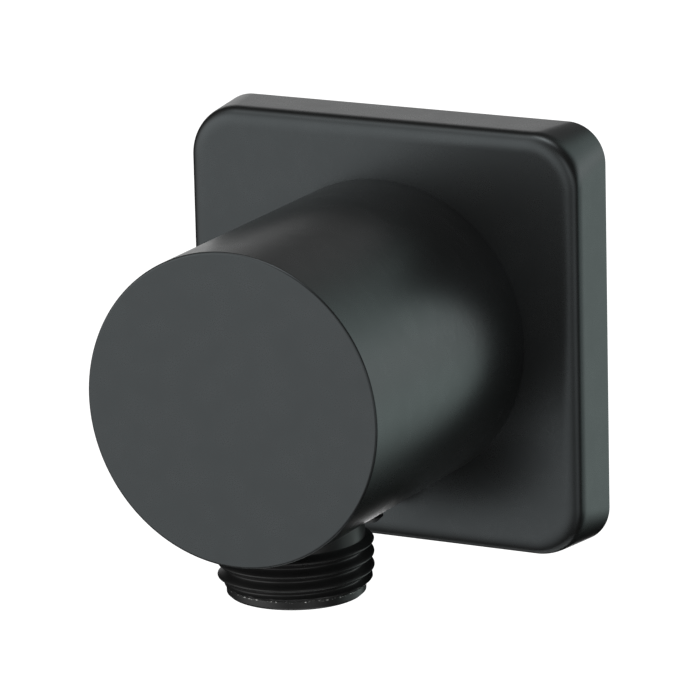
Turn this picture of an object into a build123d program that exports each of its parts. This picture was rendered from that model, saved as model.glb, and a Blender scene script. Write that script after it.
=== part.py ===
from build123d import *
from math import radians, tan
import os

# Wall outlet elbow for a hand shower, in millimetres.
# The wall is the plane y = 0, the elbow stands out of it towards -Y, and +Z is up.
# The origin is where the axis of the inlet and the barrel meets the wall.

# Square wall plate
plate_side = 58.6
plate_depth = 9.2
plate_back_corner = 5.4
plate_front_corner = 7.4
plate_edge_radius = 1.5
plate_rim = 3.5
plate_face_wall = 3.6
recess_corner = 3.0

# Round barrel, with the socket's hub inside the plate
barrel_diameter = 42.4
projection = 53.0
barrel_edge_chamfer = 0.3
hub_diameter = 28.0
hub_setback = 3.5

# Waterway shared by every piece
bore_diameter = 11.0
bore_point_angle = 59.0
key_across_flats = 12.0

# Pipe thread, size one half
thread_diameter = 20.955
thread_root_diameter = 18.631

# Outlet nipple, screwed into the barrel from below
outlet_from_wall = 36.1
outlet_reach = 7.8
outlet_seat_depth = 3.7
outlet_thread_gap = 0.1
outlet_lead_length = 0.6
outlet_tail_length = 2.2
outlet_pilot_length = 1.2
outlet_end_chamfer = 0.3
outlet_key_depth = 8.0
shank_diameter = 16.0
shank_length = 5.8
shank_relief = 0.3

# Wall connector, a turned nipple on the barrel axis
wall_thread_length = 14.0
wall_thread_inside = 1.0
wall_end_chamfer = 1.2
spigot_diameter = 20.0
spigot_end_chamfer = 0.8
spigot_end_land = 1.6
spigot_end_gap = 0.5
socket_lead_chamfer = 0.8
connector_key_depth = 9.0
fit_clearance = 0.05

# O-rings on the connector, squeezed square between groove and socket
ring_groove_depth = 1.65
ring_groove_width = 2.7
ring_land = 0.8
ring_width = 2.3
ring_edge_chamfer = 0.45

# Grub screw from below, with its point in the connector's lock groove
screw_diameter = 4.0
screw_from_wall = 14.7
screw_standout = 4.0
screw_end_chamfer = 0.7
screw_point_chamfer = 1.0
screw_key_across_flats = 2.0
screw_key_depth = 2.5
lock_groove_depth = 0.9
lock_groove_play = 0.3
lock_tip_gap = 0.1

# Sizes that follow from the ones above
barrel_radius = barrel_diameter / 2
hub_radius = hub_diameter / 2
bore_radius = bore_diameter / 2
thread_radius = thread_diameter / 2
neck_radius = thread_root_diameter / 2
shank_radius = shank_diameter / 2
spigot_radius = spigot_diameter / 2
socket_radius = spigot_radius + fit_clearance
screw_radius = screw_diameter / 2
recess_side = plate_side - 2 * plate_rim
recess_depth = plate_depth - plate_face_wall
bore_point_length = bore_radius / tan(radians(bore_point_angle))

# Heights on the outlet axis, as drops below the barrel axis
seat_drop = barrel_radius - outlet_seat_depth
shank_top_drop = seat_drop - shank_length
thread_top_drop = barrel_radius + outlet_thread_gap
crest_top_drop = thread_top_drop + outlet_lead_length
outlet_drop = barrel_radius + outlet_reach
crest_end_drop = outlet_drop - outlet_tail_length
pilot_top_drop = outlet_drop - outlet_pilot_length

# Distances from the wall along the connector
lock_half_width = screw_radius + lock_groove_play
rear_ring_from_wall = screw_from_wall + lock_half_width + ring_land + ring_groove_width / 2
front_ring_from_wall = rear_ring_from_wall + ring_groove_width + ring_land
spigot_end_from_wall = front_ring_from_wall + ring_groove_width / 2 + spigot_end_land
socket_end_from_wall = spigot_end_from_wall + spigot_end_gap
lock_groove_radius = spigot_radius - lock_groove_depth
ring_groove_radius = spigot_radius - ring_groove_depth

wall = Plane.XZ
outlet_axis = Axis((0, -outlet_from_wall, 0), (0, 0, 1))
outlet_section = Plane(origin=(0, -outlet_from_wall, 0), x_dir=(1, 0, 0), z_dir=(0, -1, 0))
outlet_end = Plane(origin=(0, -outlet_from_wall, -outlet_drop))

os.makedirs("parts", exist_ok=True)

# Elbow body: plate and barrel in one casting, bored for the connector and the outlet
with BuildPart() as elbow_body:
    # The plate's corners are rounder at the face than at the wall
    with BuildSketch(wall):
        RectangleRounded(plate_side, plate_side, plate_back_corner)
    with BuildSketch(wall.offset(plate_depth)):
        RectangleRounded(plate_side, plate_side, plate_front_corner)
    loft(ruled=True)
    fillet(elbow_body.faces().sort_by(Axis.Y)[0].edges(), plate_edge_radius)

    # Barrel, straight and flat at its end
    with BuildSketch(wall.offset(recess_depth)):
        Circle(barrel_radius)
    extrude(amount=projection - recess_depth)
    chamfer(elbow_body.faces().sort_by(Axis.Y)[0].edges(), barrel_edge_chamfer)

    # Recess in the plate's back, round the socket's hub
    with BuildSketch(wall):
        RectangleRounded(recess_side, recess_side, recess_corner)
        Circle(hub_radius, mode=Mode.SUBTRACT)
    extrude(amount=recess_depth, mode=Mode.SUBTRACT)
    with BuildSketch(wall):
        Circle(hub_radius)
    extrude(amount=hub_setback, mode=Mode.SUBTRACT)

    # Socket for the connector, then the bore to the outlet with its drill point
    with BuildSketch(Plane.XY):
        with BuildLine():
            Polyline(
                (0, -hub_setback),
                (socket_radius + socket_lead_chamfer, -hub_setback),
                (socket_radius, -hub_setback - socket_lead_chamfer),
                (socket_radius, -socket_end_from_wall),
                (bore_radius, -socket_end_from_wall),
                (bore_radius, -outlet_from_wall - bore_radius),
                (0, -outlet_from_wall - bore_radius - bore_point_length),
                close=True,
            )
        make_face()
    revolve(axis=Axis.Y, mode=Mode.SUBTRACT)

    # Outlet port: neck bore, ledge, shank thread and riser
    with BuildSketch(outlet_section):
        with BuildLine():
            Polyline(
                (0, -barrel_radius),
                (neck_radius + fit_clearance, -barrel_radius),
                (neck_radius + fit_clearance, -seat_drop),
                (shank_radius + fit_clearance, -seat_drop),
                (shank_radius + fit_clearance, -shank_top_drop + shank_relief),
                (bore_radius, -shank_top_drop + shank_relief),
                (bore_radius, 0),
                (0, 0),
                close=True,
            )
        make_face()
    revolve(axis=outlet_axis, mode=Mode.SUBTRACT)

    # Tapped hole for the grub screw
    with BuildSketch(Plane.XY):
        with Locations((0, -screw_from_wall)):
            Circle(screw_radius + fit_clearance)
    extrude(amount=-barrel_radius, mode=Mode.SUBTRACT)

# Outlet nipple: turned tube with the hose thread, driven by a key from inside
with BuildPart() as outlet_nipple:
    with BuildSketch(outlet_section):
        with BuildLine():
            Polyline(
                (bore_radius, -shank_top_drop),
                (shank_radius, -shank_top_drop),
                (shank_radius, -seat_drop),
                (neck_radius, -seat_drop),
                (neck_radius, -thread_top_drop),
                (thread_radius, -crest_top_drop),
                (thread_radius, -crest_end_drop),
                (neck_radius, -pilot_top_drop),
                (neck_radius, -outlet_drop + outlet_end_chamfer),
                (neck_radius - outlet_end_chamfer, -outlet_drop),
                (bore_radius, -outlet_drop),
                close=True,
            )
        make_face()
    revolve(axis=outlet_axis)
    with BuildSketch(outlet_end):
        RegularPolygon(key_across_flats / 2, 6, major_radius=False)
    extrude(amount=outlet_key_depth, mode=Mode.SUBTRACT)

# Wall connector: pipe thread into the wall, spigot into the body
with BuildPart() as wall_connector:
    with BuildSketch(Plane.XY):
        with BuildLine():
            Polyline(
                (bore_radius, wall_thread_length),
                (thread_radius - wall_end_chamfer, wall_thread_length),
                (thread_radius, wall_thread_length - wall_end_chamfer),
                (thread_radius, -wall_thread_inside),
                (neck_radius, -wall_thread_inside),
                (neck_radius, -hub_setback),
                (spigot_radius, -hub_setback),
                (spigot_radius, -spigot_end_from_wall + spigot_end_chamfer),
                (spigot_radius - spigot_end_chamfer, -spigot_end_from_wall),
                (bore_radius, -spigot_end_from_wall),
                close=True,
            )
        make_face()
    revolve(axis=Axis.Y)

    # Lock groove for the grub screw, then the two O-ring grooves
    grooves = [
        (screw_from_wall, 2 * lock_half_width, lock_groove_radius),
        (rear_ring_from_wall, ring_groove_width, ring_groove_radius),
        (front_ring_from_wall, ring_groove_width, ring_groove_radius),
    ]
    for from_wall, width, floor_radius in grooves:
        with BuildSketch(wall.offset(from_wall)):
            Circle(socket_radius)
            Circle(floor_radius, mode=Mode.SUBTRACT)
        extrude(amount=width / 2, both=True, mode=Mode.SUBTRACT)
    with BuildSketch(wall.offset(spigot_end_from_wall)):
        RegularPolygon(key_across_flats / 2, 6, major_radius=False)
    extrude(amount=-connector_key_depth, mode=Mode.SUBTRACT)

# O-ring at the middle of the spigot
ring_height = socket_radius - ring_groove_radius - 2 * fit_clearance
ring_centre_radius = (socket_radius + ring_groove_radius) / 2
with BuildPart() as rear_o_ring:
    with BuildSketch(Plane.XY) as rear_section:
        with Locations((ring_centre_radius, -rear_ring_from_wall)):
            Rectangle(ring_height, ring_width)
        chamfer(rear_section.vertices(), ring_edge_chamfer)
    revolve(axis=Axis.Y)

# O-ring near the end of the spigot
with BuildPart() as front_o_ring:
    with BuildSketch(Plane.XY) as front_section:
        with Locations((ring_centre_radius, -front_ring_from_wall)):
            Rectangle(ring_height, ring_width)
        chamfer(front_section.vertices(), ring_edge_chamfer)
    revolve(axis=Axis.Y)

# Grub screw with a hexagon socket, standing out below the barrel
screw_tip_drop = lock_groove_radius + lock_tip_gap
screw_end_drop = barrel_radius + screw_standout
with BuildPart() as grub_screw:
    with BuildSketch(Plane(origin=(0, -screw_from_wall, -screw_end_drop))):
        Circle(screw_radius)
    extrude(amount=screw_end_drop - screw_tip_drop)
    chamfer(grub_screw.edges().group_by(Axis.Z)[0], screw_end_chamfer)
    chamfer(grub_screw.edges().group_by(Axis.Z)[-1], screw_point_chamfer)
    with BuildSketch(Plane(origin=(0, -screw_from_wall, -screw_end_drop))):
        RegularPolygon(screw_key_across_flats / 2, 6, major_radius=False)
    extrude(amount=screw_key_depth, mode=Mode.SUBTRACT)

elbow_body.part.label = "elbow_body"
outlet_nipple.part.label = "outlet_nipple"
wall_connector.part.label = "wall_connector"
rear_o_ring.part.label = "rear_o_ring"
front_o_ring.part.label = "front_o_ring"
grub_screw.part.label = "grub_screw"
for piece in (elbow_body, outlet_nipple, wall_connector, rear_o_ring, front_o_ring, grub_screw):
    export_step(piece.part, f"parts/{piece.part.label}.step")
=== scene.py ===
import math
from typing import NamedTuple

import bmesh
import bpy
from mathutils import Matrix, Vector


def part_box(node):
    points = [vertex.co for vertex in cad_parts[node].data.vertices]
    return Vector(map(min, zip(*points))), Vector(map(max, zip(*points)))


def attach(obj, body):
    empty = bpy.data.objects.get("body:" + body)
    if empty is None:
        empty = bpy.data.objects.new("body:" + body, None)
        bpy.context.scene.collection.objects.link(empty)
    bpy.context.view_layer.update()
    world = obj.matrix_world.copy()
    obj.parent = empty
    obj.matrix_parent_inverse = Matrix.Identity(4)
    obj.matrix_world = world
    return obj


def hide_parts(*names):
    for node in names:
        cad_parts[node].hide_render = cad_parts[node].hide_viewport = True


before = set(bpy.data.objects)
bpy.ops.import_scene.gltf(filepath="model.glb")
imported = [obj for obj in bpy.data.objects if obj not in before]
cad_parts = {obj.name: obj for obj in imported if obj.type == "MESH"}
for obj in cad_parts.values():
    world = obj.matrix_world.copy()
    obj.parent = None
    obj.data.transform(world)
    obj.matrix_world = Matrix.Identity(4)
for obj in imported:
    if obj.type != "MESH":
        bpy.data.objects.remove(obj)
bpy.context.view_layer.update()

bl_info = {
    "name": "Wall Outlet Elbow",
    "version": (1, 0, 0),
    "blender": (4, 5, 0),
    "location": "3D View > Sidebar > Elbow",
    "description": "Dresses a matt black shower wall elbow and sets up its studio",
    "category": "Object",
}

# The corners of the solids that set the overall sizes
BODY_LOW, BODY_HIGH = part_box("elbow_body")
NIPPLE_LOW, NIPPLE_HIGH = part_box("outlet_nipple")
CONNECTOR_LOW, CONNECTOR_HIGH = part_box("wall_connector")
SCREW_LOW, SCREW_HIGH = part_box("grub_screw")
REAR_RING_LOW, REAR_RING_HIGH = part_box("rear_o_ring")
FRONT_RING_LOW, FRONT_RING_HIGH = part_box("front_o_ring")

# Middles of the smaller solids along Y, the way into the wall
OUTLET_Y = (NIPPLE_LOW.y + NIPPLE_HIGH.y) / 2
SCREW_Y = (SCREW_LOW.y + SCREW_HIGH.y) / 2
REAR_RING_Y = (REAR_RING_LOW.y + REAR_RING_HIGH.y) / 2
FRONT_RING_Y = (FRONT_RING_LOW.y + FRONT_RING_HIGH.y) / 2

# Points round the body, round the turned pieces and round the screw
BODY_COUNT = 256
TURNED_COUNT = 192
SCREW_COUNT = 96

# Widest spacing of the rows along plain walls
BARREL_ROW = 0.006
PLATE_ROW = 0.003
NECK_ROW = 0.001

# Widest spacing of the rows that a thread is cut into
HOSE_THREAD_ROW = 0.00006
WALL_THREAD_ROW = 0.00009
SCREW_THREAD_ROW = 0.00005

# Steps round two small edges, and the share of the plate's soft edge from one row to the next
BARREL_EDGE_STEPS = 6
SEAL_EDGE_STEPS = 6
PLATE_EDGE_STEP = 0.04

# Offset of the extra row that keeps a flat face flat beside a rounded edge
EDGE_ROW = 0.00004

# Edges that turn by more than this are shaded sharp
SHARP_TURN = math.radians(28)

# How far below the barrel's axis a cutter starts, in barrel radii
CUTTER_START = 1.2

# Number of seals on the connector
SEAL_COUNT = 2

# The range that holds most of what a noise texture gives
NOISE_LOW, NOISE_HIGH = 0.3, 0.7

# Row of worn specks on the outlet: its half height, and where its fading ends
WORN_HALF, WORN_REACH = 0.00005, 0.0002

# Noise at which a worn speck starts, and at which its metal is bare
SPECK_START, SPECK_BARE = 0.57, 0.64

# Places of the colour sockets among a Mix node's inputs and outputs
MIX_FIRST, MIX_SECOND, MIX_RESULT = 6, 7, 2

# Camera's sensor in millimetres, and how near and how far it sees in metres
SENSOR_WIDTH = 36.0
CLIP_START, CLIP_END = 0.01, 100.0


def length(name, description, default):
    """A size in metres."""
    return bpy.props.FloatProperty(
        name=name, description=description, default=default, min=0.0,
        subtype="DISTANCE", unit="LENGTH", precision=5,
    )


def offset(name, description, default):
    """A place in metres, on either side of nought."""
    return bpy.props.FloatProperty(
        name=name, description=description, default=default,
        subtype="DISTANCE", unit="LENGTH", precision=5,
    )


def angle(name, description, degrees):
    """An angle, given in degrees."""
    return bpy.props.FloatProperty(
        name=name, description=description, default=math.radians(degrees),
        subtype="ANGLE", unit="ROTATION",
    )


def share(name, description, default):
    """A number from nought to one."""
    return bpy.props.FloatProperty(
        name=name, description=description, default=default, min=0.0, max=1.0, subtype="FACTOR",
    )


def amount(name, description, default):
    """A plain number, nought or more."""
    return bpy.props.FloatProperty(name=name, description=description, default=default, min=0.0)


def colour(name, description, default):
    """A linear colour."""
    return bpy.props.FloatVectorProperty(
        name=name, description=description, default=default, min=0.0, max=1.0, size=3, subtype="COLOR",
    )


class ElbowBodySizes(bpy.types.PropertyGroup):
    """Sizes of the wall plate and the barrel"""

    plate_half: length("Plate half side", "From the middle to a side", BODY_HIGH.x)
    plate_depth: length("Plate depth", "From the wall to the plate's face", 0.0092)
    back_corner: length("Back corner", "Corner radius at the wall", 0.0054)
    front_corner: length("Front corner", "Corner radius at the face", 0.0074)
    edge_reach: length("Edge reach", "Width of the soft edge on the plate's face", 0.0026)
    edge_drop: length("Edge drop", "Width of the soft edge on the plate's sides", 0.0024)
    edge_pull: amount("Edge pull", "How far the soft edge reaches into its corner", 1.5)
    plate_rim: length("Plate rim", "Width of the rim on the wall", 0.0035)
    recess_depth: length("Recess depth", "Depth of the hollow in the back", 0.0056)
    recess_corner: length("Recess corner", "Corner radius of the hollow", 0.003)
    barrel_radius: length("Barrel radius", "Radius of the straight barrel", 0.0212)
    projection: length("Projection", "From the wall to the barrel's end", -BODY_LOW.y)
    barrel_edge: length("Barrel edge", "Radius round the barrel's end", 0.0003)
    hub_radius: length("Hub radius", "Radius of the socket's hub", 0.014)
    hub_setback: length("Hub setback", "From the wall to the hub's face", 0.0035)
    socket_radius: length("Socket radius", "Radius of the connector's socket", 0.01005)
    socket_lead: length("Socket lead", "Chamfer at the socket's mouth", 0.0008)
    socket_end: length("Socket end", "From the wall to the socket's end", 0.0261)
    bore_radius: length("Bore radius", "Radius of the waterway", 0.0055)
    bore_point: length("Bore point", "Length of the drilled point", 0.003305)
    port_radius: length("Port radius", "Bore round the outlet's neck", 0.0093655)
    port_seat: length("Port seat", "From the barrel's axis to the outlet's seat", 0.0175)
    shank_radius: length("Shank radius", "Tapped bore above the seat", 0.00805)
    shank_top: length("Shank top", "From the barrel's axis to the tapped bore's end", 0.0114)
    screw_hole: length("Screw hole", "Radius of the grub screw's hole", 0.00205)


class ElbowTurnedSizes(bpy.types.PropertyGroup):
    """Sizes of the turned pieces and their threads"""

    pipe_pitch: length("Pipe pitch", "Pitch of the half inch pipe thread", 0.001814)
    pipe_root: length("Pipe root", "Root radius of the pipe thread", 0.0093155)
    hose_turn: share("Hose thread turn", "Start of the hose thread, as a share of a turn", 0.121)
    wall_turn: share("Wall thread turn", "Start of the wall thread, as a share of a turn", 0.3)
    neck_end: length("Neck end", "Barrel axis to the top of the hose thread", 0.0213)
    lead_end: length("Lead end", "Barrel axis to the first full crest", 0.0219)
    crest_end: length("Crest end", "Barrel axis to the last full crest", 0.0268)
    pilot_top: length("Pilot top", "Barrel axis to the plain end", 0.0278)
    pilot_edge: length("Pilot edge", "Chamfer round the plain end", 0.0003)
    shank_radius: length("Shank radius", "Radius of the outlet's hidden shank", 0.008)
    key_flat: length("Key flat", "Half the width across the hexagon's flats", 0.006)
    outlet_key_depth: length("Outlet key depth", "Depth of the hexagon in the outlet", 0.008)
    connector_key_depth: length("Connector key depth", "Depth of the hexagon in the connector", 0.009)
    wall_edge: length("Wall edge", "Chamfer at the wall thread's end", 0.0012)
    wall_inside: length("Wall thread inside", "Wall thread on the room's side of the wall", 0.001)
    spigot_radius: length("Spigot radius", "Radius of the connector's spigot", 0.01)
    spigot_edge: length("Spigot edge", "Chamfer at the spigot's end", 0.0008)
    groove_radius: length("Groove radius", "Floor of the O-ring grooves", 0.00835)
    groove_width: length("Groove width", "Width of the O-ring grooves", 0.0027)
    seal_edge: length("Seal edge", "Rounding of an O-ring's squeezed section", 0.00045)
    lock_radius: length("Lock radius", "Floor of the grub screw's groove", 0.0091)
    lock_half: length("Lock half width", "Half the width of the grub screw's groove", 0.0023)
    screw_pitch: length("Screw pitch", "Pitch of the grub screw", 0.0007)
    screw_root: length("Screw root", "Root radius of the grub screw", 0.00159)
    screw_edge: length("Screw edge", "Chamfer at the screw's lower end", 0.0007)
    screw_point: length("Screw point", "Chamfer at the screw's point", 0.001)
    screw_flat: length("Screw key flat", "Half the width across the screw's hexagon", 0.001)
    screw_key_depth: length("Screw key depth", "Depth of the screw's hexagon", 0.0025)


class ElbowFinishes(bpy.types.PropertyGroup):
    """Colours and gloss of the finishes"""

    coat: colour("Coat", "Matt black coat", (0.0115, 0.0115, 0.0113))
    coat_sheen: colour("Coat sheen", "Tint of the coat's reflections", (0.86, 0.965, 1.0))
    coat_roughness: share("Coat roughness", "Gloss of the matt coat", 0.29)
    thread: colour("Thread", "Black plating on the outlet", (0.016, 0.016, 0.016))
    thread_roughness: share("Thread roughness", "Gloss of the black plating", 0.3)
    bare: colour("Bare metal", "Metal that shows where the plating is worn", (0.62, 0.62, 0.6))
    brass: colour("Brass", "Turned brass of the connector", (0.72, 0.52, 0.24))
    rubber: colour("Rubber", "Black rubber of the seals", (0.014, 0.014, 0.015))
    oxide: colour("Oxide", "Blackened steel of the grub screw", (0.03, 0.03, 0.032))
    floor: colour("Floor", "Pale floor", (0.93, 0.93, 0.93))


class ElbowStage(bpy.types.PropertyGroup):
    """Camera, floor and light"""

    azimuth: angle("Azimuth", "Camera's turn round the object", 27.418)
    elevation: angle("Elevation", "Camera's height above the horizon", 14.883)
    roll: angle("Roll", "Camera's turn about its own axis", -1.347)
    distance: length("Distance", "From the camera to its target", 0.8122)
    lens: amount("Lens", "Focal length in millimetres on a 36 mm sensor", 304.67)
    target_right: offset("Target right", "Target's place across the picture", -0.008668)
    target_up: offset("Target up", "Target's place up the picture", -0.004675)
    floor_drop: length("Floor drop", "From the barrel's axis down to the floor", 1.0)
    floor_radius: length("Floor radius", "From the middle to the floor's edge", 0.5)
    backdrop: amount("Backdrop", "Brightness of the white backdrop", 1.15)
    brightness: amount("Brightness", "Brightness of all the soft lights", 1.0)


class SoftLight(NamedTuple):
    """One soft light of the studio, with its bearing, height and spread in degrees"""

    bearing: float
    height: float
    spread: float
    strength: float
    tint: tuple = (1.0, 1.0, 1.0)


# Tint of the light that comes back from the room behind the part
COOL = (0.84, 1.0, 0.96)

# Bearings are from +X towards +Y, so the wall is at 90
STUDIO_LIGHTS = {
    "front": SoftLight(bearing=246.0, height=-3.0, spread=20.0, strength=1.85),
    "front, high": SoftLight(bearing=240.0, height=25.0, spread=12.0, strength=0.8),
    "front left": SoftLight(bearing=215.0, height=5.0, spread=16.0, strength=1.6),
    "left, high": SoftLight(bearing=225.0, height=60.0, spread=16.0, strength=1.8),
    "front right": SoftLight(bearing=300.0, height=15.0, spread=12.0, strength=1.5),
    "right": SoftLight(bearing=320.0, height=-10.0, spread=16.0, strength=1.0),
    "far right, low": SoftLight(bearing=28.0, height=-5.0, spread=10.0, strength=1.5, tint=COOL),
    "far right": SoftLight(bearing=45.0, height=6.0, spread=10.0, strength=1.5),
    "back right, low": SoftLight(bearing=60.0, height=-15.0, spread=10.0, strength=1.2, tint=COOL),
    "back right": SoftLight(bearing=60.0, height=14.0, spread=10.0, strength=1.0, tint=COOL),
    "back right, high": SoftLight(bearing=60.0, height=35.0, spread=10.0, strength=1.0, tint=COOL),
    "back": SoftLight(bearing=95.0, height=20.0, spread=8.0, strength=0.6),
    "back left": SoftLight(bearing=117.0, height=2.0, spread=9.0, strength=1.1),
    "back left, high": SoftLight(bearing=118.0, height=16.0, spread=6.0, strength=0.2),
    "back left, low": SoftLight(bearing=116.0, height=-19.0, spread=5.0, strength=3.2),
    "top": SoftLight(bearing=0.0, height=90.0, spread=10.0, strength=5.0),
}


def circle(radius, height, count):
    """A ring of points round Z."""
    turns = [math.tau * i / count for i in range(count)]
    return [Vector((radius * math.cos(turn), radius * math.sin(turn), height)) for turn in turns]


def hexagon(flat, height, count):
    """A six-sided ring round Z, with corners on the X axis."""
    side = math.radians(60)
    ring = []
    for point in circle(1.0, height, count):
        turn = math.atan2(point.y, point.x) % side
        reach = flat / math.cos(turn - side / 2)
        ring.append(Vector((point.x * reach, point.y * reach, height)))
    return ring


def rounded_square(half, corner, height, count):
    """A square ring round Z, with half of its points on its round corners."""
    straight, arc = count // 16, count // 8
    flat = half - corner
    quarter = [(half, flat * i / straight) for i in range(straight)]
    for i in range(arc):
        turn = math.radians(90) * i / arc
        quarter.append((flat + corner * math.cos(turn), flat + corner * math.sin(turn)))
    quarter += [(flat * (1 - i / straight), half) for i in range(straight)]
    ring = []
    for _ in range(4):
        ring += [Vector((x, y, height)) for x, y in quarter]
        quarter = [(-y, x) for x, y in quarter]
    return ring


def pole(height):
    """A single point on the axis, which closes a row of rings."""
    return [Vector((0.0, 0.0, height))]


def steps(start, end, spacing):
    """Evenly spaced values from start to end, no further apart than spacing."""
    count = max(1, math.ceil(abs(end - start) / spacing))
    return [start + (end - start) * i / count for i in range(count + 1)]


def stretch(start, end, spacing):
    """Points along a straight stretch of a turned profile, without its first one."""
    start_radius, start_height = start
    end_radius, end_height = end
    slope = (end_radius - start_radius) / (end_height - start_height)
    heights = steps(start_height, end_height, spacing)[1:]
    return [(start_radius + slope * (height - start_height), height) for height in heights]


def bend(count):
    """Pairs of sine and one less cosine along a quarter turn."""
    turns = [math.radians(90) * i / count for i in range(count + 1)]
    return [(math.sin(turn), 1 - math.cos(turn)) for turn in turns]


def skin(name, rings, loop=False):
    """A mesh over a row of rings, facing outwards."""
    shape = bmesh.new()
    rows = [[shape.verts.new(point) for point in ring] for ring in rings]
    pairs = list(zip(rows, rows[1:] + rows[:1])) if loop else list(zip(rows, rows[1:]))
    for low, high in pairs:
        count = max(len(low), len(high))
        for i in range(count):
            j = (i + 1) % count
            if len(low) == 1:
                shape.faces.new((low[0], high[j], high[i]))
            elif len(high) == 1:
                shape.faces.new((low[i], low[j], high[0]))
            else:
                shape.faces.new((low[i], low[j], high[j], high[i]))
    bmesh.ops.recalc_face_normals(shape, faces=shape.faces)
    mesh = bpy.data.meshes.new(name)
    shape.to_mesh(mesh)
    shape.free()
    piece = bpy.data.objects.new(name, mesh)
    bpy.context.scene.collection.objects.link(piece)
    return piece


def settle(piece):
    """Turn a piece's modifiers into a plain mesh."""
    bpy.context.view_layer.update()
    depsgraph = bpy.context.evaluated_depsgraph_get()
    mesh = bpy.data.meshes.new_from_object(piece.evaluated_get(depsgraph))
    piece.modifiers.clear()
    piece.data = mesh
    mesh.name = piece.name


def dress(piece, place, material, slot, *nodes):
    """Put a finished mesh in its place and let it stand for its solids."""
    piece.data.transform(place)
    piece.data.shade_smooth()
    piece.data.set_sharp_from_angle(angle=SHARP_TURN)
    piece.data.materials.clear()
    piece.data.materials.append(material)
    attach(piece, "root")
    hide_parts(*nodes)


def cut(piece, cutter):
    """Take one shape out of another."""
    modifier = piece.modifiers.new("Cut", "BOOLEAN")
    modifier.operation = "DIFFERENCE"
    modifier.solver = "EXACT"
    modifier.object = cutter
    settle(piece)
    bpy.data.objects.remove(cutter, do_unlink=True)


class NodeBench:
    """Adds and joins nodes in one tree"""

    def __init__(self, tree):
        self.tree = tree

    def add(self, kind, **settings):
        """A new node with its settings."""
        node = self.tree.nodes.new(kind)
        for key, value in settings.items():
            setattr(node, key, value)
        return node

    def feed(self, socket, value):
        """Link an output to a socket, or set the socket's own value."""
        if isinstance(value, bpy.types.NodeSocket):
            self.tree.links.new(value, socket)
        else:
            socket.default_value = value

    def maths(self, operation, first, second=0.0):
        """The result of a Math node."""
        node = self.add("ShaderNodeMath", operation=operation)
        self.feed(node.inputs[0], first)
        self.feed(node.inputs[1], second)
        return node.outputs[0]

    def vectors(self, operation, first, second=(0.0, 0.0, 0.0)):
        """A Vector Math node."""
        node = self.add("ShaderNodeVectorMath", operation=operation)
        self.feed(node.inputs[0], first)
        self.feed(node.inputs[1], second)
        return node

    def spread(self, value, low_in, high_in, low_out, high_out):
        """A value carried from one range to another."""
        node = self.add("ShaderNodeMapRange")
        for socket, given in zip(node.inputs, (value, low_in, high_in, low_out, high_out)):
            self.feed(socket, given)
        return node.outputs[0]

    def vary(self, noise, low_out, high_out):
        """A number that follows the noise over a range of its own."""
        return self.spread(noise, NOISE_LOW, NOISE_HIGH, low_out, high_out)

    def place(self, scale=(1.0, 1.0, 1.0)):
        """The piece's own coordinates, scaled along each axis."""
        coordinates = self.add("ShaderNodeTexCoord")
        mapping = self.add("ShaderNodeMapping")
        self.feed(mapping.inputs["Vector"], coordinates.outputs["Object"])
        self.feed(mapping.inputs["Scale"], scale)
        return mapping.outputs["Vector"]

    def grain(self, place, scale, detail, roughness=0.5):
        """Noise with so many features to the metre."""
        node = self.add("ShaderNodeTexNoise")
        self.feed(node.inputs["Vector"], place)
        self.feed(node.inputs["Scale"], scale)
        self.feed(node.inputs["Detail"], detail)
        self.feed(node.inputs["Roughness"], roughness)
        return node.outputs["Fac"]

    def blend(self, share_of_second, first, second):
        """A mix of two colours."""
        node = self.add("ShaderNodeMix", data_type="RGBA")
        self.feed(node.inputs["Factor"], share_of_second)
        self.feed(node.inputs[MIX_FIRST], first)
        self.feed(node.inputs[MIX_SECOND], second)
        return node.outputs[MIX_RESULT]

    def relief(self, height, strength, distance):
        """A normal that follows the fine heights of a surface."""
        node = self.add("ShaderNodeBump")
        self.feed(node.inputs["Strength"], strength)
        self.feed(node.inputs["Distance"], distance)
        self.feed(node.inputs["Height"], height)
        return node.outputs["Normal"]


def finish(name):
    """A new material, with its bench and its shader."""
    material = bpy.data.materials.new(name)
    material.use_nodes = True
    return material, NodeBench(material.node_tree), material.node_tree.nodes["Principled BSDF"]


def tone(value, factor):
    """A colour made lighter or darker, with full alpha."""
    return tuple(min(1.0, channel * factor) for channel in value) + (1.0,)


def mottled(bench, noise, value, darker, lighter):
    """A colour that follows the noise from a darker tone to a lighter one."""
    return bench.blend(noise, tone(value, darker), tone(value, lighter))


def matt_coat(finishes):
    """Satin black coat: a faint mottle and the fine skin of a sprayed finish."""
    material, bench, shader = finish("matt_black_coat")
    place = bench.place()
    mottle = bench.grain(place, scale=260.0, detail=3.0)
    skin_height = bench.grain(place, scale=2600.0, detail=2.0)
    fleck = bench.grain(place, scale=9000.0, detail=1.0)
    bench.feed(shader.inputs["Base Color"],
               mottled(bench, mottle, finishes.coat, darker=0.7, lighter=1.3))
    gloss = bench.maths("ADD", bench.vary(mottle, 0.012, -0.012), bench.vary(fleck, -0.02, 0.02))
    bench.feed(shader.inputs["Roughness"], bench.maths("ADD", gloss, finishes.coat_roughness))
    bench.feed(shader.inputs["Normal"], bench.relief(skin_height, strength=0.12, distance=0.00002))
    bench.feed(shader.inputs["Specular Tint"], tone(finishes.coat_sheen, 1.0))
    bench.feed(shader.inputs["IOR"], 1.5)
    return material


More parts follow.
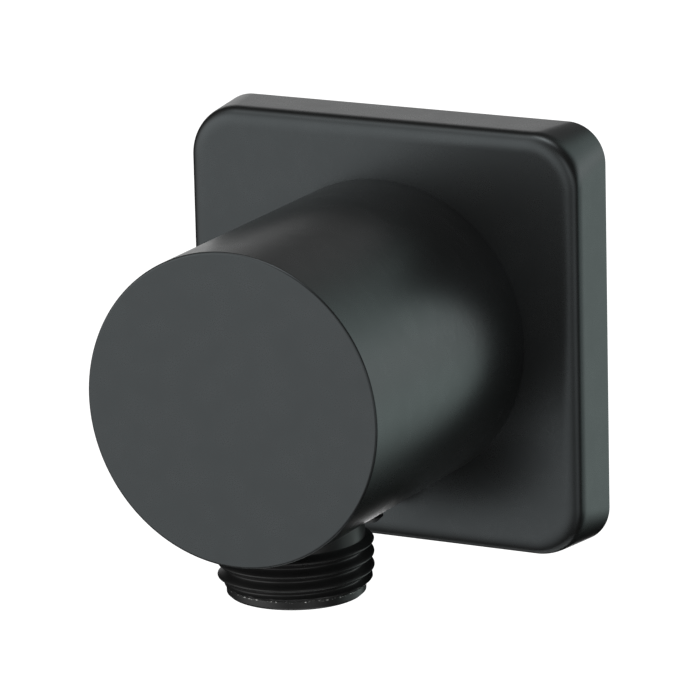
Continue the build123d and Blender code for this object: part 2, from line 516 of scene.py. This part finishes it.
def black_thread(finishes, worn_height):
    """Black plating, with a row of specks worn to bare metal where the thread ends."""
    material, bench, shader = finish("black_thread")
    place = bench.place()
    drift = bench.grain(place, scale=300.0, detail=3.0)
    speck = bench.grain(place, scale=3000.0, detail=3.0, roughness=0.6)
    split = bench.add("ShaderNodeSeparateXYZ")
    bench.feed(split.inputs[0], place)
    away = bench.maths("ABSOLUTE", bench.maths("SUBTRACT", split.outputs["Z"], worn_height))
    row = bench.spread(away, WORN_HALF, WORN_REACH, 1.0, 0.0)
    worn = bench.maths("MULTIPLY", bench.spread(speck, SPECK_START, SPECK_BARE, 0.0, 1.0), row)
    plating = mottled(bench, drift, finishes.thread, darker=0.8, lighter=1.2)
    bench.feed(shader.inputs["Base Color"], bench.blend(worn, plating, tone(finishes.bare, 1.0)))
    bench.feed(shader.inputs["Metallic"], worn)
    gloss = bench.vary(drift, -0.03, 0.03)
    bench.feed(shader.inputs["Roughness"], bench.maths("ADD", gloss, finishes.thread_roughness))
    bench.feed(shader.inputs["Normal"], bench.relief(speck, strength=0.1, distance=0.00002))
    bench.feed(shader.inputs["IOR"], 1.36)
    return material


def turned_brass(finishes):
    """Bare brass with the fine rings that a lathe leaves."""
    material, bench, shader = finish("turned_brass")
    along_axis = bench.place(scale=(0.0, 1.0, 0.0))
    rings = bench.grain(along_axis, scale=5200.0, detail=3.0, roughness=0.7)
    tarnish = bench.grain(bench.place(), scale=220.0, detail=4.0)
    bench.feed(shader.inputs["Base Color"],
               mottled(bench, tarnish, finishes.brass, darker=0.8, lighter=1.1))
    bench.feed(shader.inputs["Metallic"], 1.0)
    bench.feed(shader.inputs["Roughness"], bench.vary(rings, 0.24, 0.4))
    bench.feed(shader.inputs["Normal"], bench.relief(rings, strength=0.35, distance=0.00002))
    return material


def seal_rubber(finishes):
    """Moulded black rubber with a faint bloom."""
    material, bench, shader = finish("rubber")
    bloom = bench.grain(bench.place(), scale=500.0, detail=4.0)
    bench.feed(shader.inputs["Base Color"],
               mottled(bench, bloom, finishes.rubber, darker=0.7, lighter=1.6))
    bench.feed(shader.inputs["Roughness"], bench.vary(bloom, 0.42, 0.58))
    bench.feed(shader.inputs["Normal"], bench.relief(bloom, strength=0.1, distance=0.00003))
    return material


def screw_oxide(finishes):
    """Blackened steel, a little brighter where the thread is rubbed."""
    material, bench, shader = finish("black_screw")
    rub = bench.grain(bench.place(), scale=1500.0, detail=4.0, roughness=0.6)
    bench.feed(shader.inputs["Base Color"],
               mottled(bench, rub, finishes.oxide, darker=0.6, lighter=1.5))
    bench.feed(shader.inputs["Metallic"], 0.2)
    bench.feed(shader.inputs["Roughness"], bench.vary(rub, 0.38, 0.5))
    bench.feed(shader.inputs["Normal"], bench.relief(rub, strength=0.15, distance=0.00002))
    return material


def pale_floor(finishes):
    """Seamless white paper."""
    material, bench, shader = finish("pale_floor")
    fibre = bench.grain(bench.place(), scale=40.0, detail=4.0)
    bench.feed(shader.inputs["Base Color"],
               mottled(bench, fibre, finishes.floor, darker=0.99, lighter=1.01))
    bench.feed(shader.inputs["Roughness"], bench.vary(fibre, 0.75, 0.85))
    return material


def studio(stage):
    """A white backdrop for the camera, and soft lights round the part."""
    world = bpy.data.worlds.new("studio")
    world.use_nodes = True
    bench = NodeBench(world.node_tree)
    way = bench.add("ShaderNodeTexCoord").outputs["Generated"]
    total = (0.0, 0.0, 0.0)
    for light in STUDIO_LIGHTS.values():
        bearing = math.radians(light.bearing)
        height = math.radians(light.height)
        axis = (
            math.cos(height) * math.cos(bearing),
            math.cos(height) * math.sin(bearing),
            math.sin(height),
        )
        facing = bench.vectors("DOT_PRODUCT", way, axis).outputs["Value"]
        turned = bench.maths("SUBTRACT", facing, 1.0)
        falloff = bench.maths("DIVIDE", turned, math.radians(light.spread) ** 2)
        strength = stage.brightness * light.strength
        glow = bench.vectors("SCALE", tuple(strength * channel for channel in light.tint))
        bench.feed(glow.inputs["Scale"], bench.maths("EXPONENT", falloff))
        total = bench.vectors("ADD", total, glow.outputs["Vector"]).outputs["Vector"]
    seen = bench.add("ShaderNodeLightPath").outputs["Is Camera Ray"]
    background = world.node_tree.nodes["Background"]
    backdrop = (stage.backdrop,) * 3 + (1.0,)
    bench.feed(background.inputs["Color"], bench.blend(seen, total, backdrop))
    return world


def tree_inputs(tree, kind, *names):
    """Named inputs of one kind on a geometry tree."""
    for name in names:
        tree.interface.new_socket(name=name, in_out="INPUT", socket_type=kind)


def end_tree(bench, geometry, material, output):
    """End a geometry tree in real geometry of one material."""
    whole = bench.add("GeometryNodeRealizeInstances")
    bench.feed(whole.inputs["Geometry"], geometry)
    coated = bench.add("GeometryNodeSetMaterial")
    bench.feed(coated.inputs["Geometry"], whole.outputs["Geometry"])
    bench.feed(coated.inputs["Material"], material)
    bench.feed(bench.add("NodeGroupOutput").inputs[output], coated.outputs["Geometry"])


def set_inputs(modifier, values):
    """Set a modifier's inputs by the identifiers of their sockets."""
    for socket in modifier.node_group.interface.items_tree:
        if socket.in_out == "INPUT" and socket.name in values:
            modifier[socket.identifier] = values[socket.name]


def thread_tree():
    """Geometry tree that cuts a right-hand thread into a blank turned about Z."""
    tree = bpy.data.node_groups.new("Cut thread", "GeometryNodeTree")
    tree_inputs(tree, "NodeSocketGeometry", "Blank")
    tree_inputs(tree, "NodeSocketFloat", "Crest radius", "Root radius", "Pitch", "Turn")
    tree_inputs(tree, "NodeSocketMaterial", "Material")
    tree.interface.new_socket(name="Threaded", in_out="OUTPUT", socket_type="NodeSocketGeometry")
    bench = NodeBench(tree)
    given = bench.add("NodeGroupInput").outputs
    split = bench.add("ShaderNodeSeparateXYZ")
    bench.feed(split.inputs[0], bench.add("GeometryNodeInputPosition").outputs[0])
    x, y, z = split.outputs
    square = bench.maths("ADD", bench.maths("MULTIPLY", x, x), bench.maths("MULTIPLY", y, y))
    radius = bench.maths("SQRT", square)
    turn = bench.maths("DIVIDE", bench.maths("ARCTAN2", y, x), math.tau)
    along = bench.maths("SUBTRACT", bench.maths("DIVIDE", z, given["Pitch"]), turn)
    phase = bench.maths("MULTIPLY", bench.maths("ADD", along, given["Turn"]), math.tau)
    crest = bench.maths("COSINE", phase)
    profile = bench.spread(crest, -1.0, 1.0, given["Root radius"], given["Crest radius"])
    kept = bench.maths("MINIMUM", radius, profile)
    pull = bench.maths("DIVIDE", kept, radius)
    moved = bench.add("ShaderNodeCombineXYZ")
    bench.feed(moved.inputs[0], bench.maths("MULTIPLY", x, pull))
    bench.feed(moved.inputs[1], bench.maths("MULTIPLY", y, pull))
    bench.feed(moved.inputs[2], z)
    shaped = bench.add("GeometryNodeSetPosition")
    bench.feed(shaped.inputs["Geometry"], given["Blank"])
    bench.feed(shaped.inputs["Position"], moved.outputs[0])
    end_tree(bench, shaped.outputs["Geometry"], given["Material"], "Threaded")
    return tree


def cut_thread(blank, crest, root, pitch, turn, material):
    """Cut a thread into a blank and keep the result as a plain mesh."""
    tree = bpy.data.node_groups.get("Cut thread") or thread_tree()
    modifier = blank.modifiers.new("Thread", "NODES")
    modifier.node_group = tree
    set_inputs(modifier, {
        "Crest radius": crest, "Root radius": root, "Pitch": pitch, "Turn": turn, "Material": material,
    })
    settle(blank)


def seal_tree():
    """Geometry tree that lays rings of squeezed section round Z."""
    tree = bpy.data.node_groups.new("Seal rings", "GeometryNodeTree")
    tree_inputs(tree, "NodeSocketGeometry", "Start")
    tree_inputs(tree, "NodeSocketFloat", "Ring radius", "Section height", "Section width",
                "Edge radius", "First", "Spacing")
    tree_inputs(tree, "NodeSocketMaterial", "Material")
    tree.interface.new_socket(name="Rings", in_out="OUTPUT", socket_type="NodeSocketGeometry")
    bench = NodeBench(tree)
    given = bench.add("NodeGroupInput").outputs
    path = bench.add("GeometryNodeCurvePrimitiveCircle")
    bench.feed(path.inputs["Resolution"], TURNED_COUNT)
    bench.feed(path.inputs["Radius"], given["Ring radius"])
    section = bench.add("GeometryNodeCurvePrimitiveQuadrilateral", mode="RECTANGLE")
    bench.feed(section.inputs["Width"], given["Section height"])
    bench.feed(section.inputs["Height"], given["Section width"])
    softened = bench.add("GeometryNodeFilletCurve", mode="POLY")
    bench.feed(softened.inputs["Curve"], section.outputs["Curve"])
    bench.feed(softened.inputs["Count"], SEAL_EDGE_STEPS)
    bench.feed(softened.inputs["Radius"], given["Edge radius"])
    ring = bench.add("GeometryNodeCurveToMesh")
    bench.feed(ring.inputs["Curve"], path.outputs["Curve"])
    bench.feed(ring.inputs["Profile Curve"], softened.outputs["Curve"])
    first = bench.add("ShaderNodeCombineXYZ")
    bench.feed(first.inputs[2], given["First"])
    spacing = bench.add("ShaderNodeCombineXYZ")
    bench.feed(spacing.inputs[2], given["Spacing"])
    line = bench.add("GeometryNodeMeshLine")
    bench.feed(line.inputs["Count"], SEAL_COUNT)
    bench.feed(line.inputs["Start Location"], first.outputs[0])
    bench.feed(line.inputs["Offset"], spacing.outputs[0])
    pair = bench.add("GeometryNodeInstanceOnPoints")
    bench.feed(pair.inputs["Points"], line.outputs["Mesh"])
    bench.feed(pair.inputs["Instance"], ring.outputs["Mesh"])
    end_tree(bench, pair.outputs["Instances"], given["Material"], "Rings")
    return tree


# Turned about Z, then laid along Y, so that height becomes the way into the wall
ALONG_WALL_AXIS = Matrix.Rotation(math.radians(-90), 4, "X")


class ELBOW_OT_body(bpy.types.Operator):
    """Make the wall plate and barrel in one piece, bored for its connector and outlet"""

    bl_idname = "elbow.make_body"
    bl_label = "Elbow Body"

    def execute(self, context):
        sizes = context.scene.elbow_body

        def plate(inset, depth):
            lean = (sizes.front_corner - sizes.back_corner) * depth / sizes.plate_depth
            corner = sizes.back_corner + lean - inset
            return rounded_square(sizes.plate_half - inset, corner, -depth, BODY_COUNT)

        def ring(radius, depth):
            return circle(radius, -depth, BODY_COUNT)

        # Barrel: flat end, rounded edge and straight side
        end = sizes.projection
        edge = sizes.barrel_edge
        end_radius = sizes.barrel_radius - edge
        rings = [pole(-end), ring(end_radius / 2, end), ring(end_radius - EDGE_ROW, end)]
        rings += [ring(end_radius + edge * rise, end - edge * drop)
                  for rise, drop in bend(BARREL_EDGE_STEPS)]
        barrel_side = steps(end - edge - EDGE_ROW, sizes.plate_depth, BARREL_ROW)
        rings += [ring(sizes.barrel_radius, depth) for depth in barrel_side]

        # Plate: its face, then an edge that bends slowly out of the face and into the sides
        rings.append(plate(sizes.edge_reach + EDGE_ROW, sizes.plate_depth))
        for along in steps(0.0, 1.0, PLATE_EDGE_STEP):
            near, far = (1 - along) ** 2, along ** 2
            weight = near + far + 2 * sizes.edge_pull * along * (1 - along)
            drop = sizes.edge_drop * far / weight
            rings.append(plate(sizes.edge_reach * near / weight, sizes.plate_depth - drop))

        # Sides, rim and the hollow in the back
        plate_side = steps(sizes.plate_depth - sizes.edge_drop - EDGE_ROW, 0.0, PLATE_ROW)
        rings += [plate(0.0, depth) for depth in plate_side]
        recess_half = sizes.plate_half - sizes.plate_rim
        rings.append(rounded_square(recess_half, sizes.recess_corner, 0.0, BODY_COUNT))
        rings.append(rounded_square(recess_half, sizes.recess_corner, -sizes.recess_depth, BODY_COUNT))

        # Hub, socket and waterway
        bore_end = sizes.bore_radius - OUTLET_Y
        rings.append(ring(sizes.hub_radius, sizes.recess_depth))
        rings.append(ring(sizes.hub_radius, sizes.hub_setback))
        rings.append(ring(sizes.socket_radius + sizes.socket_lead, sizes.hub_setback))
        rings.append(ring(sizes.socket_radius, sizes.hub_setback + sizes.socket_lead))
        rings.append(ring(sizes.socket_radius, sizes.socket_end))
        rings.append(ring(sizes.bore_radius, sizes.socket_end))
        rings.append(ring(sizes.bore_radius, bore_end))
        rings.append(pole(-bore_end - sizes.bore_point))
        body = skin("elbow_body", rings)
        body.data.transform(ALONG_WALL_AXIS)

        # Outlet port from below, then the grub screw's hole
        below = -sizes.barrel_radius * CUTTER_START
        port = skin("outlet_port", [
            pole(below),
            circle(sizes.port_radius, below, TURNED_COUNT),
            circle(sizes.port_radius, -sizes.port_seat, TURNED_COUNT),
            circle(sizes.shank_radius, -sizes.port_seat, TURNED_COUNT),
            circle(sizes.shank_radius, -sizes.shank_top, TURNED_COUNT),
            circle(sizes.bore_radius, -sizes.shank_top, TURNED_COUNT),
            circle(sizes.bore_radius, 0.0, TURNED_COUNT),
            pole(0.0),
        ])
        port.data.transform(Matrix.Translation((0.0, OUTLET_Y, 0.0)))
        cut(body, port)
        hole = skin("screw_hole", [
            pole(below),
            circle(sizes.screw_hole, below, SCREW_COUNT),
            circle(sizes.screw_hole, 0.0, SCREW_COUNT),
            pole(0.0),
        ])
        hole.data.transform(Matrix.Translation((0.0, SCREW_Y, 0.0)))
        cut(body, hole)
        material = matt_coat(context.scene.elbow_finishes)
        dress(body, Matrix.Identity(4), material, "matt_black_coat", "elbow_body")
        return {"FINISHED"}


class ELBOW_OT_outlet(bpy.types.Operator):
    """Make the outlet with its hose thread and hexagon"""

    bl_idname = "elbow.make_outlet"
    bl_label = "Outlet Nipple"

    def execute(self, context):
        sizes = context.scene.elbow_turned
        body = context.scene.elbow_body
        crest, root = NIPPLE_HIGH.x, sizes.pipe_root
        top, end = NIPPLE_HIGH.z, NIPPLE_LOW.z

        # Hidden shank and neck, then the blank of the thread and the plain end
        profile = [
            (body.bore_radius, top),
            (sizes.shank_radius, top),
            (sizes.shank_radius, -body.port_seat),
            (root, -body.port_seat),
        ]
        profile += stretch(profile[-1], (root, -sizes.neck_end), NECK_ROW)
        profile += stretch(profile[-1], (crest, -sizes.lead_end), HOSE_THREAD_ROW)
        profile += stretch(profile[-1], (crest, -sizes.crest_end), HOSE_THREAD_ROW)
        profile += stretch(profile[-1], (root, -sizes.pilot_top), HOSE_THREAD_ROW)
        profile += [(root, end + sizes.pilot_edge), (root - sizes.pilot_edge, end)]
        rings = [circle(radius, height, TURNED_COUNT) for radius, height in profile]

        # Hexagon for the key, open below
        key_top = end + sizes.outlet_key_depth
        rings.append(hexagon(sizes.key_flat, end, TURNED_COUNT))
        rings.append(hexagon(sizes.key_flat, key_top, TURNED_COUNT))
        rings.append(circle(body.bore_radius, key_top, TURNED_COUNT))
        outlet = skin("outlet_nipple", rings, loop=True)
        material = black_thread(context.scene.elbow_finishes, -sizes.pilot_top)
        cut_thread(outlet, crest, root, sizes.pipe_pitch, sizes.hose_turn, material)
        place = Matrix.Translation((0.0, OUTLET_Y, 0.0))
        dress(outlet, place, material, "black_thread", "outlet_nipple")
        return {"FINISHED"}


class ELBOW_OT_connector(bpy.types.Operator):
    """Make the brass connector with its wall thread, grooves and hexagon"""

    bl_idname = "elbow.make_connector"
    bl_label = "Wall Connector"

    def execute(self, context):
        sizes = context.scene.elbow_turned
        body = context.scene.elbow_body
        crest, root = CONNECTOR_HIGH.x, sizes.pipe_root
        far, near = CONNECTOR_HIGH.y, CONNECTOR_LOW.y

        # Blank of the wall thread, then the waist before the spigot
        profile = [(body.bore_radius, far), (crest - sizes.wall_edge, far)]
        profile += stretch(profile[-1], (crest, far - sizes.wall_edge), WALL_THREAD_ROW)
        profile += stretch(profile[-1], (crest, -sizes.wall_inside), WALL_THREAD_ROW)
        profile += [
            (root, -sizes.wall_inside),
            (root, -body.hub_setback),
            (sizes.spigot_radius, -body.hub_setback),
        ]

        # Spigot with the lock groove and the two O-ring grooves
        grooves = [
            (SCREW_Y, sizes.lock_half, sizes.lock_radius),
            (REAR_RING_Y, sizes.groove_width / 2, sizes.groove_radius),
            (FRONT_RING_Y, sizes.groove_width / 2, sizes.groove_radius),
        ]
        for middle, half, floor in grooves:
            profile += [
                (sizes.spigot_radius, middle + half),
                (floor, middle + half),
                (floor, middle - half),
                (sizes.spigot_radius, middle - half),
            ]
        profile.append((sizes.spigot_radius, near + sizes.spigot_edge))
        profile.append((sizes.spigot_radius - sizes.spigot_edge, near))
        rings = [circle(radius, height, TURNED_COUNT) for radius, height in profile]

        # Hexagon for the key, open towards the room
        key_end = near + sizes.connector_key_depth
        rings.append(hexagon(sizes.key_flat, near, TURNED_COUNT))
        rings.append(hexagon(sizes.key_flat, key_end, TURNED_COUNT))
        rings.append(circle(body.bore_radius, key_end, TURNED_COUNT))
        connector = skin("wall_connector", rings, loop=True)
        material = turned_brass(context.scene.elbow_finishes)
        cut_thread(connector, crest, root, sizes.pipe_pitch, sizes.wall_turn, material)
        dress(connector, ALONG_WALL_AXIS, material, "turned_brass", "wall_connector")
        return {"FINISHED"}


class ELBOW_OT_seals(bpy.types.Operator):
    """Make the two O-rings between connector and body"""

    bl_idname = "elbow.make_seals"
    bl_label = "O-rings"

    def execute(self, context):
        sizes = context.scene.elbow_turned
        outer = REAR_RING_HIGH.x
        clearance = context.scene.elbow_body.socket_radius - outer
        inner = sizes.groove_radius + clearance
        seals = skin("seal_rings", [])
        material = seal_rubber(context.scene.elbow_finishes)
        modifier = seals.modifiers.new("Rings", "NODES")
        modifier.node_group = seal_tree()
        set_inputs(modifier, {
            "Ring radius": (outer + inner) / 2,
            "Section height": outer - inner,
            "Section width": REAR_RING_HIGH.y - REAR_RING_LOW.y,
            "Edge radius": sizes.seal_edge,
            "First": REAR_RING_Y,
            "Spacing": FRONT_RING_Y - REAR_RING_Y,
            "Material": material,
        })
        settle(seals)
        dress(seals, ALONG_WALL_AXIS, material, "rubber", "rear_o_ring", "front_o_ring")
        return {"FINISHED"}


class ELBOW_OT_screw(bpy.types.Operator):
    """Make the grub screw that locks the body on its connector"""

    bl_idname = "elbow.make_screw"
    bl_label = "Grub Screw"

    def execute(self, context):
        sizes = context.scene.elbow_turned
        crest = SCREW_HIGH.x
        end, tip = SCREW_LOW.z, SCREW_HIGH.z

        # Hexagon for the key, open below
        key_top = end + sizes.screw_key_depth
        rings = [
            pole(key_top),
            hexagon(sizes.screw_flat, key_top, SCREW_COUNT),
            hexagon(sizes.screw_flat, end, SCREW_COUNT),
        ]

        # Blank of the thread, from the lower end to the point
        profile = [(crest - sizes.screw_edge, end)]
        profile += stretch(profile[-1], (crest, end + sizes.screw_edge), SCREW_THREAD_ROW)
        profile += stretch(profile[-1], (crest, tip - sizes.screw_point), SCREW_THREAD_ROW)
        profile += stretch(profile[-1], (crest - sizes.screw_point, tip), SCREW_THREAD_ROW)
        rings += [circle(radius, height, SCREW_COUNT) for radius, height in profile]
        rings.append(pole(tip))
        screw = skin("grub_screw", rings)
        material = screw_oxide(context.scene.elbow_finishes)
        cut_thread(screw, crest, sizes.screw_root, sizes.screw_pitch, turn=0.0, material=material)
        place = Matrix.Translation((0.0, SCREW_Y, 0.0))
        dress(screw, place, material, "black_screw", "grub_screw")
        return {"FINISHED"}


class ELBOW_OT_stage(bpy.types.Operator):
    """Set the floor, the light and the camera"""

    bl_idname = "elbow.set_stage"
    bl_label = "Stage"

    def execute(self, context):
        scene = context.scene
        stage = scene.elbow_stage

        # Pale floor, well below the part, which hangs on its wall
        floor = skin("floor", [
            pole(-stage.floor_drop),
            circle(stage.floor_radius, -stage.floor_drop, TURNED_COUNT),
        ])
        floor.data.materials.append(pale_floor(scene.elbow_finishes))
        scene.world = studio(stage)
        scene.view_settings.view_transform = "Standard"

        # Camera at the photograph's angle
        back = Vector((
            math.sin(stage.azimuth) * math.cos(stage.elevation),
            -math.cos(stage.azimuth) * math.cos(stage.elevation),
            math.sin(stage.elevation),
        ))
        level = Vector((math.cos(stage.azimuth), math.sin(stage.azimuth), 0.0))
        right = Matrix.Rotation(stage.roll, 3, back) @ level
        up = back.cross(right)
        spot = right * stage.target_right + up * stage.target_up + back * stage.distance
        camera_data = bpy.data.cameras.new("camera")
        camera_data.lens = stage.lens
        camera_data.sensor_width = SENSOR_WIDTH
        camera_data.clip_start = CLIP_START
        camera_data.clip_end = CLIP_END
        camera = bpy.data.objects.new("camera", camera_data)
        turned = Matrix((right, up, back)).transposed().to_4x4()
        camera.matrix_world = Matrix.Translation(spot) @ turned
        scene.collection.objects.link(camera)
        scene.camera = camera
        return {"FINISHED"}


class ELBOW_PT_panel(bpy.types.Panel):
    """Lists the pieces and the stage"""

    bl_idname = "ELBOW_PT_panel"
    bl_label = "Wall Outlet Elbow"
    bl_space_type = "VIEW_3D"
    bl_region_type = "UI"
    bl_category = "Elbow"

    def draw(self, context):
        for operator in OPERATORS:
            self.layout.operator(operator.bl_idname)
        for group_name in GROUPS:
            group = getattr(context.scene, group_name)
            box = self.layout.box()
            for name in group.__annotations__:
                box.prop(group, name)


GROUPS = {
    "elbow_body": ElbowBodySizes,
    "elbow_turned": ElbowTurnedSizes,
    "elbow_finishes": ElbowFinishes,
    "elbow_stage": ElbowStage,
}
OPERATORS = (
    ELBOW_OT_body,
    ELBOW_OT_outlet,
    ELBOW_OT_connector,
    ELBOW_OT_seals,
    ELBOW_OT_screw,
    ELBOW_OT_stage,
)


def register():
    """Add the sizes, the operators and the panel."""
    for name, group in GROUPS.items():
        bpy.utils.register_class(group)
        setattr(bpy.types.Scene, name, bpy.props.PointerProperty(type=group))
    for operator in OPERATORS:
        bpy.utils.register_class(operator)
    bpy.utils.register_class(ELBOW_PT_panel)


def unregister():
    """Take them out again, in the opposite order."""
    bpy.utils.unregister_class(ELBOW_PT_panel)
    for operator in reversed(OPERATORS):
        bpy.utils.unregister_class(operator)
    for name, group in reversed(list(GROUPS.items())):
        delattr(bpy.types.Scene, name)
        bpy.utils.unregister_class(group)


def main():
    """Make every piece and the stage."""
    register()
    bpy.ops.elbow.make_body()
    bpy.ops.elbow.make_outlet()
    bpy.ops.elbow.make_connector()
    bpy.ops.elbow.make_seals()
    bpy.ops.elbow.make_screw()
    bpy.ops.elbow.set_stage()


if __name__ == "__main__":
    main()
